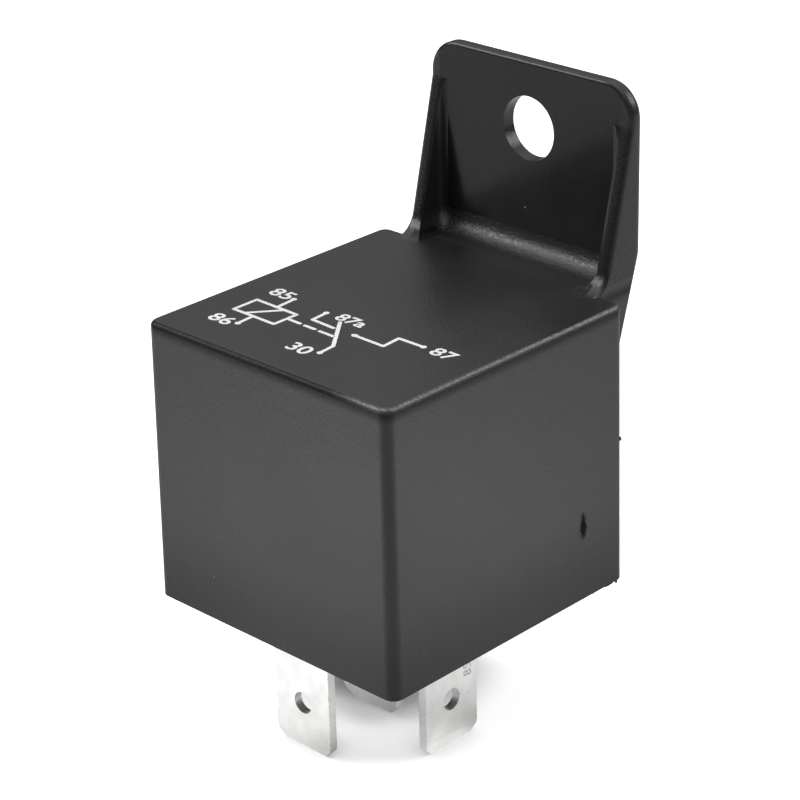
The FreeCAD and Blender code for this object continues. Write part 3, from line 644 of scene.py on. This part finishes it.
def buildCoverPlastic():
    look = coverLook
    material, tree, shader = startMaterial("cover-plastic")
    grain = useGrain(tree, look["grainSize"], look["driftSize"])
    chips = useRub(tree, *look["rub"])["Chips"]
    facing = tree.nodes.new("ShaderNodeNewGeometry")
    masks = coverMasks(tree, facing.outputs["Normal"])

    colour = mixColour(tree, grain["Drift"], look["colour"], look["paleColour"])
    # painted light: the side faces inside the pocket are made paler than the rest of the cover
    colour = mixColour(tree, masks["inner"], colour, look["innerPaintedLightColour"])
    colour = mixColour(tree, chips, colour, look["rubColour"])
    colour = mixColour(tree, useSpecks(tree, *look["glints"]), colour, look["glintColour"])
    # pale band on the top edge: rubbed wear and a painted highlight
    colour = mixColour(tree, masks["worn"], colour, look["wornAndHighlightColour"])
    colour = mixColour(tree, useSpecks(tree, *look["dust"]), colour, look["dustColour"])
    colour = mixColour(tree, masks["scar"], colour, scarLook["colour"])
    feed(tree, colour, shader.inputs["Base Color"])

    rough = mixValue(tree, masks["top"], look["sideRoughness"], look["topRoughness"])
    rough = mixValue(tree, masks["bracket"], rough, look["bracketRoughness"])
    rough = mixValue(tree, masks["pocket"], rough, look["pocketRoughness"])
    rough = mixValue(tree, masks["cove"], rough, look["coveRoughness"])
    rough = add(tree, rough, multiply(tree, grain["Drift"], look["driftRoughness"]))
    rough = mixValue(tree, masks["scar"], rough, scarLook["roughness"])
    feed(tree, rough, shader.inputs["Roughness"])

    shine = mixValue(tree, masks["low"], look["sideShine"], look["lowShine"])
    shine = mixValue(tree, masks["rim"], shine, look["rimShine"])
    shine = mixValue(tree, masks["bracket"], shine, look["bracketShine"])
    shine = mixValue(tree, masks["pocket"], shine, look["pocketShine"])
    shine = mixValue(tree, masks["cove"], shine, look["coveShine"])
    shine = mixValue(tree, masks["front"], shine, look["frontEdgeShine"])
    shine = mixValue(tree, masks["scar"], shine, scarLook["shine"])
    feed(tree, shine, shader.inputs["Specular IOR Level"])

    # the gussets' front edges are softly rounded
    bevel = tree.nodes.new("ShaderNodeBevel")
    bevel.samples = look["gussetSamples"]
    bevel.inputs["Radius"].default_value = look["gussetRound"] * mm
    rounded = tree.nodes.new("ShaderNodeMix")
    rounded.data_type = "VECTOR"
    feed(tree, masks["gusset"], rounded.inputs[0])
    feed(tree, facing.outputs["Normal"], rounded.inputs[4])
    feed(tree, bevel.outputs[0], rounded.inputs[5])

    # the grain is polished away in the pocket and coarser in the cove
    depth = subtract(tree, 1.0, multiply(tree, masks["pocket"], look["pocketPolish"]))
    depth = add(tree, depth, multiply(tree, masks["cove"], look["coveGrain"]))
    height = multiply(tree, grain["Height"], depth)
    height = subtract(tree, height, multiply(tree, masks["scar"], scarLook["depth"]))
    addBump(tree, shader, height, look["grainDepth"], rounded.outputs[1])
    return material


plasticLooks = {
    "base-plastic": {
        "colour": (0.020, 0.020, 0.021), "pale": (0.034, 0.034, 0.035),
        "rubbed": (0.0912, 0.0912, 0.093), "dustColour": (0.4, 0.4, 0.38),
        "rough": 0.5, "driftRough": 0.1, "grain": 0.22, "depth": 0.008, "drift": 6.0,
        "rub": (0.2, 0.7), "dust": (2.6, 0.07),
    },
    "bobbin-plastic": {
        "colour": (0.60, 0.55, 0.43), "pale": (0.72, 0.67, 0.55),
        "rubbed": (1.0, 1.0, 1.0), "dustColour": (0.4, 0.4, 0.38),
        "rough": 0.42, "driftRough": 0.1, "grain": 0.3, "depth": 0.004, "drift": 4.0,
        "rub": (0.2, 0.7), "dust": (2.6, 0.07),
    },
}


def buildPlastic(name, look):
    material, tree, shader = startMaterial(name)
    grain = useGrain(tree, look["grain"], look["drift"])
    colour = mixColour(tree, grain["Drift"], look["colour"], look["pale"])
    colour = mixColour(tree, useRub(tree, *look["rub"])["Chips"], colour, look["rubbed"])
    colour = mixColour(tree, useSpecks(tree, *look["dust"]), colour, look["dustColour"])
    feed(tree, colour, shader.inputs["Base Color"])
    rough = add(tree, look["rough"], multiply(tree, grain["Drift"], look["driftRough"]))
    feed(tree, rough, shader.inputs["Roughness"])
    addBump(tree, shader, grain["Height"], look["depth"])
    return material


# sizes in mm; nicks and scratches are shares from 0 to 1
metalLooks = {
    "blade-metal": {
        "colour": (0.88, 0.88, 0.87), "worn": (0.62, 0.61, 0.59), "rough": 0.30, "drift": 2.2,
        "line": 0.05, "depth": 0.002, "scratch": 0.3, "scratches": 0.12,
        "reach": 0.22, "breaks": 0.22, "nicks": 0.9,
    },
    "magnet-steel": {
        "colour": (0.56, 0.56, 0.54), "worn": (0.40, 0.39, 0.37), "rough": 0.34, "drift": 3.0,
        "line": 0.09, "depth": 0.003, "scratch": 0.5, "scratches": 0.4,
        "reach": 0.15, "breaks": 0.5, "nicks": 0.5,
    },
    "spring-bronze": {
        "colour": (0.66, 0.45, 0.24), "worn": (0.45, 0.29, 0.15), "rough": 0.26, "drift": 2.5,
        "line": 0.05, "depth": 0.0015, "scratch": 0.4, "scratches": 0.4,
        "reach": 0.1, "breaks": 0.5, "nicks": 0.5,
    },
    "rivet-steel": {
        "colour": (0.62, 0.62, 0.61), "worn": (0.42, 0.42, 0.41), "rough": 0.25, "drift": 1.2,
        "line": 0.07, "depth": 0.002, "scratch": 0.3, "scratches": 0.4,
        "reach": 0.13, "breaks": 0.4, "nicks": 0.5,
    },
    "contact-silver": {
        "colour": (0.80, 0.78, 0.74), "worn": (0.36, 0.34, 0.31), "rough": 0.32, "drift": 0.8,
        "line": 0.04, "depth": 0.002, "scratch": 0.3, "scratches": 0.4,
        "reach": 0.13, "breaks": 0.4, "nicks": 0.5,
    },
    "solder-tin": {
        "colour": (0.70, 0.70, 0.70), "worn": (0.45, 0.45, 0.44), "rough": 0.18, "drift": 0.5,
        "line": 0.2, "depth": 0.004, "scratch": 0.5, "scratches": 0.1,
        "reach": 0.1, "breaks": 0.4, "nicks": 0.3,
    },
}

# what all the metals share
metalWear = {
    "grain": 0.12,
    "spots": (0.7, 0.07),
    "nickColour": (0.16, 0.15, 0.14),
    "patchWear": 0.35,
    "spotWear": 0.7,
    "patchRough": 0.12,
    "lineRough": 0.08,
    "patchHeight": 0.5,
    "scratchDepth": 4.0,
}


def buildMetal(name, look):
    wear = metalWear
    material, tree, shader = startMaterial(name)
    lines = useGroup(tree, "drawLines", {"Line Width": look["line"], "Scratch Width": look["scratch"]})
    patches = useGrain(tree, wear["grain"], look["drift"])
    specks = useSpecks(tree, *wear["spots"])
    nicks = useRub(tree, look["reach"], look["breaks"])["Nicks"]

    worn = multiply(tree, patches["Drift"], wear["patchWear"])
    worn = add(tree, worn, multiply(tree, specks, wear["spotWear"]), True)
    colour = mixColour(tree, worn, look["colour"], look["worn"])
    colour = mixColour(tree, multiply(tree, nicks, look["nicks"]), colour, wear["nickColour"])
    colour = mixColour(tree, multiply(tree, lines["Scratches"], look["scratches"]), colour, look["worn"])
    feed(tree, colour, shader.inputs["Base Color"])
    shader.inputs["Metallic"].default_value = 1.0

    rough = add(tree, look["rough"], multiply(tree, patches["Drift"], wear["patchRough"]))
    rough = add(tree, rough, multiply(tree, lines["Lines"], wear["lineRough"]))
    feed(tree, rough, shader.inputs["Roughness"])

    height = add(tree, lines["Lines"], multiply(tree, patches["Height"], wear["patchHeight"]))
    deep = multiply(tree, lines["Scratches"], wear["scratchDepth"] * look["scratches"])
    addBump(tree, shader, subtract(tree, height, deep), look["depth"])
    return material


wireLook = {
    "colour": (0.50, 0.17, 0.06),
    "dark": (0.22, 0.06, 0.02),
    "pitch": 0.18,
    "wander": 0.35,
    "wanderScale": 0.5,
    "rough": 0.28,
    "driftRough": 0.1,
    "metallic": 0.85,
    "depth": 0.05,
    "grain": 0.4,
    "drift": 3.0,
    "driftShade": 0.75,
}


def buildWinding():
    # turns of enamelled wire, one above the other
    look = wireLook
    material, tree, shader = startMaterial("copper-wire")
    z = splitVector(tree, objectPlace(tree))[2]
    wander = multiply(tree, noiseNode(tree, objectPlace(tree), look["wanderScale"]), look["wander"])
    turns = multiply(tree, add(tree, z, wander), 2 * math.pi / look["pitch"])
    ridge = multiply(tree, add(tree, mathNode(tree, "SINE", turns), 1.0), 0.5)
    drift = useGrain(tree, look["grain"], look["drift"])["Drift"]
    shade = multiply(tree, ridge, mixValue(tree, drift, look["driftShade"], 1.0))
    feed(tree, mixColour(tree, shade, look["dark"], look["colour"]), shader.inputs["Base Color"])
    shader.inputs["Metallic"].default_value = look["metallic"]
    rough = add(tree, look["rough"], multiply(tree, drift, look["driftRough"]))
    feed(tree, rough, shader.inputs["Roughness"])
    addBump(tree, shader, ridge, look["depth"])
    return material


braidLook = {
    "colour": (0.72, 0.34, 0.18),
    "dark": (0.16, 0.06, 0.03),
    "pitch": 0.42,
    "lean": 0.7,
    "rough": 0.35,
    "driftRough": 0.12,
    "metallic": 0.9,
    "depth": 0.08,
    "grain": 0.08,
    "grainHeight": 0.2,
    "drift": 2.0,
}


def buildBraid():
    # two crossing sets of strands, with painted shade darkening the gaps between them
    look = braidLook
    material, tree, shader = startMaterial("braid-copper")
    place = objectPlace(tree)
    waves = []
    for lean in (look["lean"], -look["lean"]):
        turned = tree.nodes.new("ShaderNodeVectorRotate")
        turned.rotation_type = "EULER_XYZ"
        turned.inputs["Rotation"].default_value = (lean, lean, lean)
        feed(tree, place, turned.inputs["Vector"])
        across = splitVector(tree, turned.outputs[0])[1]
        swing = mathNode(tree, "SINE", multiply(tree, across, 2 * math.pi / look["pitch"]))
        waves.append(mathNode(tree, "ABSOLUTE", swing))
    weave = mathNode(tree, "MAXIMUM", waves[0], waves[1])
    feed(tree, mixColour(tree, weave, look["dark"], look["colour"]), shader.inputs["Base Color"])
    shader.inputs["Metallic"].default_value = look["metallic"]
    fine = useGrain(tree, look["grain"], look["drift"])
    rough = add(tree, look["rough"], multiply(tree, fine["Drift"], look["driftRough"]))
    feed(tree, rough, shader.inputs["Roughness"])
    height = add(tree, weave, multiply(tree, fine["Height"], look["grainHeight"]))
    addBump(tree, shader, height, look["depth"])
    return material


inkLook = {
    "colour": (0.86, 0.86, 0.85),
    "thin": (0.52, 0.52, 0.52),
    "thinPits": (0.75, 1.0),
    "thinDrift": (0.35, 0.95),
    "thinShare": (0.15, 0.9),
    "rough": 0.55,
    "driftRough": 0.1,
    "grain": 0.13,
    "drift": 1.6,
    "depth": 0.006,
}


def buildInk():
    # pad-printed ink, thin where the cover's grain stands through it
    look = inkLook
    material, tree, shader = startMaterial("white-ink")
    grain = useGrain(tree, look["grain"], look["drift"])
    patchy = rangeNode(tree, grain["Drift"], *look["thinDrift"], *look["thinShare"])
    thin = multiply(tree, riseMask(tree, grain["Height"], look["thinPits"]), patchy)
    feed(tree, mixColour(tree, thin, look["colour"], look["thin"]), shader.inputs["Base Color"])
    rough = add(tree, look["rough"], multiply(tree, grain["Drift"], look["driftRough"]))
    feed(tree, rough, shader.inputs["Roughness"])
    addBump(tree, shader, grain["Height"], look["depth"])
    return material


stampLook = {
    "colour": (0.42, 0.42, 0.41),
    "pale": (0.66, 0.66, 0.65),
    "rough": 0.4,
    "grainRough": 0.2,
    "grain": 0.1,
    "drift": 0.8,
    "depth": 0.004,
}


def buildStampMetal():
    look = stampLook
    material, tree, shader = startMaterial("stamp-metal")
    patches = useGrain(tree, look["grain"], look["drift"])
    colour = mixColour(tree, patches["Drift"], look["colour"], look["pale"])
    feed(tree, colour, shader.inputs["Base Color"])
    shader.inputs["Metallic"].default_value = 1.0
    rough = add(tree, look["rough"], multiply(tree, patches["Height"], look["grainRough"]))
    feed(tree, rough, shader.inputs["Roughness"])
    addBump(tree, shader, patches["Height"], look["depth"])
    return material


materials = {
    "cover-plastic": buildCoverPlastic(),
    "copper-wire": buildWinding(),
    "braid-copper": buildBraid(),
    "white-ink": buildInk(),
    "stamp-metal": buildStampMetal(),
}
for label, look in plasticLooks.items():
    materials[label] = buildPlastic(label, look)
for label, look in metalLooks.items():
    materials[label] = buildMetal(label, look)

nodeFinish = {
    "cover": "cover-plastic",
    "base_plate": "base-plastic",
    "terminal_87": "blade-metal",
    "terminal_87a": "blade-metal",
    "terminal_85": "blade-metal",
    "terminal_86": "blade-metal",
    "terminal_30": "blade-metal",
    "yoke": "magnet-steel",
    "core": "magnet-steel",
    "armature": "magnet-steel",
    "bobbin": "bobbin-plastic",
    "coil_winding": "copper-wire",
    "solder_joints": "solder-tin",
    "armature_rivets": "rivet-steel",
    "yoke_rivets": "rivet-steel",
    "moving_contact": "contact-silver",
    "fixed_contact_open": "contact-silver",
    "fixed_contact_closed": "contact-silver",
    "contact_spring": "spring-bronze",
    "contact_braid": "braid-copper",
}
for nodeName, finish in nodeFinish.items():
    mesh = nodes[nodeName].data
    mesh.materials.clear()
    mesh.materials.append(materials[finish])
print("materials on", len(nodeFinish), "nodes")


def meshPiece(name, builder, material, body):
    mesh = bpy.data.meshes.new(name)
    builder.to_mesh(mesh)
    builder.free()
    piece = bpy.data.objects.new(name, mesh)
    bpy.context.scene.collection.objects.link(piece)
    mesh.materials.append(material)
    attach(piece, body)


def addPlate(builder, outline, low, high):
    # flat closed plate between two heights, its outline a list of points in mm
    lower = [builder.verts.new(Vector((point.x, point.y, low)) * mm) for point in outline]
    upper = [builder.verts.new(Vector((point.x, point.y, high)) * mm) for point in outline]
    builder.faces.new(upper)
    builder.faces.new(lower[::-1])
    count = len(outline)
    for i in range(count):
        after = (i + 1) % count
        builder.faces.new((lower[i], lower[after], upper[after], upper[i]))


def addStroke(builder, start, end, width, low, high, steps=8):
    # flat bar with half-round ends
    first = Vector((start[0], start[1], 0))
    last = Vector((end[0], end[1], 0))
    along = (last - first).normalized()
    side = Vector((-along.y, along.x, 0))
    outline = []
    for centre, turn in ((last, 0), (first, math.pi)):
        for i in range(steps + 1):
            angle = turn - math.pi / 2 + math.pi * i / steps
            outline.append(centre + (along * math.cos(angle) + side * math.sin(angle)) * width / 2)
    addPlate(builder, outline, low, high)


def circlePoint(centre, radius, angle, height=0.0):
    return Vector((centre[0] + radius * math.cos(angle), centre[1] + radius * math.sin(angle), height))


def addDot(builder, centre, radius, low, high, steps=20):
    outline = [circlePoint(centre, radius, 2 * math.pi * i / steps) for i in range(steps)]
    addPlate(builder, outline, low, high)


def addRing(builder, centre, inner, outer, low, high, steps=32):
    # closed ring with a square section
    loops = []
    for radius, height in ((inner, low), (outer, low), (outer, high), (inner, high)):
        points = [circlePoint(centre, radius, 2 * math.pi * i / steps, height) for i in range(steps)]
        loops.append([builder.verts.new(point * mm) for point in points])
    for first, second in zip(loops, loops[1:] + loops[:1]):
        for j in range(steps):
            after = (j + 1) % steps
            builder.faces.new((first[j], first[after], second[after], second[j]))


def addWords(builder, words, height, thickness, weight, place):
    # number as a mesh, its digits the given height in mm, carried to its place by a matrix in mm
    digitShare = 0.73  # of the font's size
    curve = bpy.data.curves.new("number", "FONT")
    curve.body = words
    curve.align_x = "CENTER"
    curve.align_y = "CENTER"
    curve.size = height / digitShare
    curve.extrude = thickness / 2
    curve.offset = weight
    curve.resolution_u = 4
    holder = bpy.data.objects.new("number", curve)
    bpy.context.scene.collection.objects.link(holder)
    bpy.context.view_layer.update()
    graph = bpy.context.evaluated_depsgraph_get()
    mesh = bpy.data.meshes.new_from_object(holder.evaluated_get(graph))
    bpy.data.objects.remove(holder)
    bpy.data.curves.remove(curve)
    mesh.transform(Matrix.Scale(mm, 4) @ place)
    builder.from_mesh(mesh)
    bpy.data.meshes.remove(mesh)


# the generic contact diagram on top: places in mm on the cover's top
printPlan = {
    "top": 25.5,
    "gap": 0.001,
    "thickness": 0.014,
    "line": 0.34,
    "lineLift": 0.0002,
    "dot": 0.27,
    "dotLift": 0.001,
    "weight": 0.036,
    "stretch": 1.18,
    "lines": [
        [(-9.95, -7.8), (-9.95, -5.15), (-5.1, -5.25), (-5.1, -7.85), (-9.95, -7.8)],
        [(-8.6, -7.7), (-6.6, -5.3)],
        [(-7.5, -5.2), (-7.62, -3.2)],
        [(-7.6, -7.8), (-7.5, -9.55)],
        [(-5.1, -6.35), (-3.55, -6.38)],
        [(-2.95, -6.4), (-1.8, -6.42)],
        [(-1.2, -6.44), (0.35, -6.47)],
        [(-3.5, -3.4), (-3.36, -5.12), (-0.8, -5.25)],
        [(-1.25, -4.05), (1.78, -7.85), (1.92, -9.45)],
        [(1.4, -5.2), (4.85, -5.25), (4.7, -3.3), (7.35, -3.27)],
    ],
    "dots": [(-7.65, -3.1), (-7.48, -9.65), (-3.5, -3.4), (1.93, -9.5), (7.4, -3.26), (1.62, -5.2)],
    "numbers": [("85", -9.2, -2.95, 1.52), ("86", -9.15, -9.95, 1.52), ("30", 0.05, -10.0, 1.5),
                ("87a", -0.75, -3.25, 1.36), ("87", 9.55, -3.3, 1.45)],
}


def buildPrint():
    plan = printPlan
    low = plan["top"] + plan["gap"]
    high = low + plan["thickness"]
    builder = bmesh.new()
    for run in plan["lines"]:
        for i in range(len(run) - 1):
            addStroke(builder, run[i], run[i + 1], plan["line"], low, high + plan["lineLift"] * i)
    for centre in plan["dots"]:
        addDot(builder, centre, plan["dot"], low, high + plan["dotLift"])
    wider = Matrix.Diagonal((plan["stretch"], 1, 1, 1))
    for words, x, y, height in plan["numbers"]:
        place = Matrix.Translation((x, y, (low + high) / 2)) @ wider
        addWords(builder, words, height, plan["thickness"], plan["weight"], place)
    meshPiece("print-diagram", builder, materials["white-ink"], "housing")


# numbers pressed into the blades, reading upwards: place in mm and the side they are on
stampPlan = {
    "height": 0.98,
    "thickness": 0.02,
    "stamps": [
        ("85", (9.0, -0.35, -4.75), "right"),
        ("86", (-9.0, -0.35, -4.75), "left"),
        ("87", (1.9, -10.4, -4.75), "back"),
        ("87a", (1.9, -2.4, -4.3), "back"),
        ("30", (0.4, 4.1, -4.75), "right"),
    ],
    "turns": {"back": 180, "right": 90, "left": -90},
}


def buildStamps():
    plan = stampPlan
    standing = Matrix.Rotation(math.radians(90), 4, "X")
    upwards = Matrix.Rotation(math.radians(90), 4, "Z")
    for words, place, face in plan["stamps"]:
        facing = Matrix.Rotation(math.radians(plan["turns"][face]), 4, "Z")
        builder = bmesh.new()
        turn = Matrix.Translation(place) @ facing @ standing @ upwards
        addWords(builder, words, plan["height"], plan["thickness"], 0.0, turn)
        meshPiece("stamp-" + words, builder, materials["stamp-metal"], "housing")


# raised numbers and ejector-pin rings on the underside of the base, read from below
markPlan = {
    "height": 1.9,
    "thickness": 0.12,
    "sunk": 0.01,
    "weight": 0.01,
    "marks": [("87", -5.3, -10.8), ("87a", -5.6, -5.0), ("86", -6.0, 2.4), ("85", 6.0, 2.4),
              ("30", -2.4, 9.6)],
    "ringCentres": [(-9.5, 9.5), (9.5, 9.5), (-9.8, -9.6), (9.8, -9.6)],
    "ringRadii": (1.0, 1.1),
    "ringHeights": (-0.035, 0.005),
}


def buildBaseMarks():
    plan = markPlan
    builder = bmesh.new()
    under = Matrix.Rotation(math.pi, 4, "X")
    for words, x, y in plan["marks"]:
        place = Matrix.Translation((x, y, plan["sunk"] - plan["thickness"] / 2)) @ under
        addWords(builder, words, plan["height"], plan["thickness"], plan["weight"], place)
    meshPiece("base-numbers", builder, materials["base-plastic"], "housing")


def buildPinRings():
    plan = markPlan
    builder = bmesh.new()
    for centre in plan["ringCentres"]:
        addRing(builder, centre, *plan["ringRadii"], *plan["ringHeights"])
    meshPiece("pin-rings", builder, materials["base-plastic"], "housing")


# torn bits of moulding flash left on the cover: place and size of each lump in mm
flashPlan = {
    "raggedness": 0.22,
    "fineness": 3,
    "bits": {
        "flash-rim-right": [
            ((13.92, 12.3, 0.0), (0.12, 0.6, 0.12)),
            ((13.93, 13.3, -0.1), (0.08, 0.13, 0.2)),
            ((13.92, 10.3, 0.02), (0.1, 0.35, 0.08)),
        ],
        "flash-back-edge": [
            ((13.66, 13.92, 13.2), (0.13, 0.13, 0.2)),
        ],
    },
}


def buildFlash():
    ragged = flashPlan["raggedness"]
    fineness = flashPlan["fineness"]
    for name, lumps in flashPlan["bits"].items():
        builder = bmesh.new()
        for centre, size in lumps:
            made = bmesh.ops.create_icosphere(builder, subdivisions=fineness, radius=1.0)
            for vert in made["verts"]:
                rough = 1.0 + random.uniform(-ragged, ragged)
                spot = Vector((vert.co.x * size[0], vert.co.y * size[1], vert.co.z * size[2])) * rough
                vert.co = (Vector(centre) + spot) * mm
        meshPiece(name, builder, materials["cover-plastic"], "housing")


buildPrint()
buildStamps()
buildBaseMarks()
buildPinRings()
buildFlash()
print("print, stamps, marks and flash made")

# spring and braid cross the joint between these places in metres; here they are only copied, unbent
bendPlan = {
    "contact_spring": {"name": "spring-leaf", "slot": "spring_bronze",
                       "start": (0, 0.01135, 0.0138), "end": (0, 0.0080, 0.0193)},
    "contact_braid": {"name": "braid-tail", "slot": "braid_copper",
                      "start": (-0.0104, 0.0060, 0.0090), "end": (-0.0050, -0.0059, 0.0210)},
}


def buildBendingPieces():
    for node, plan in bendPlan.items():
        mesh = nodes[node].data.copy()
        mesh.name = plan["name"]
        piece = bpy.data.objects.new(plan["name"], mesh)
        bpy.context.scene.collection.objects.link(piece)
        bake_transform(piece)
        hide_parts(node)


buildBendingPieces()
print("spring and braid made")
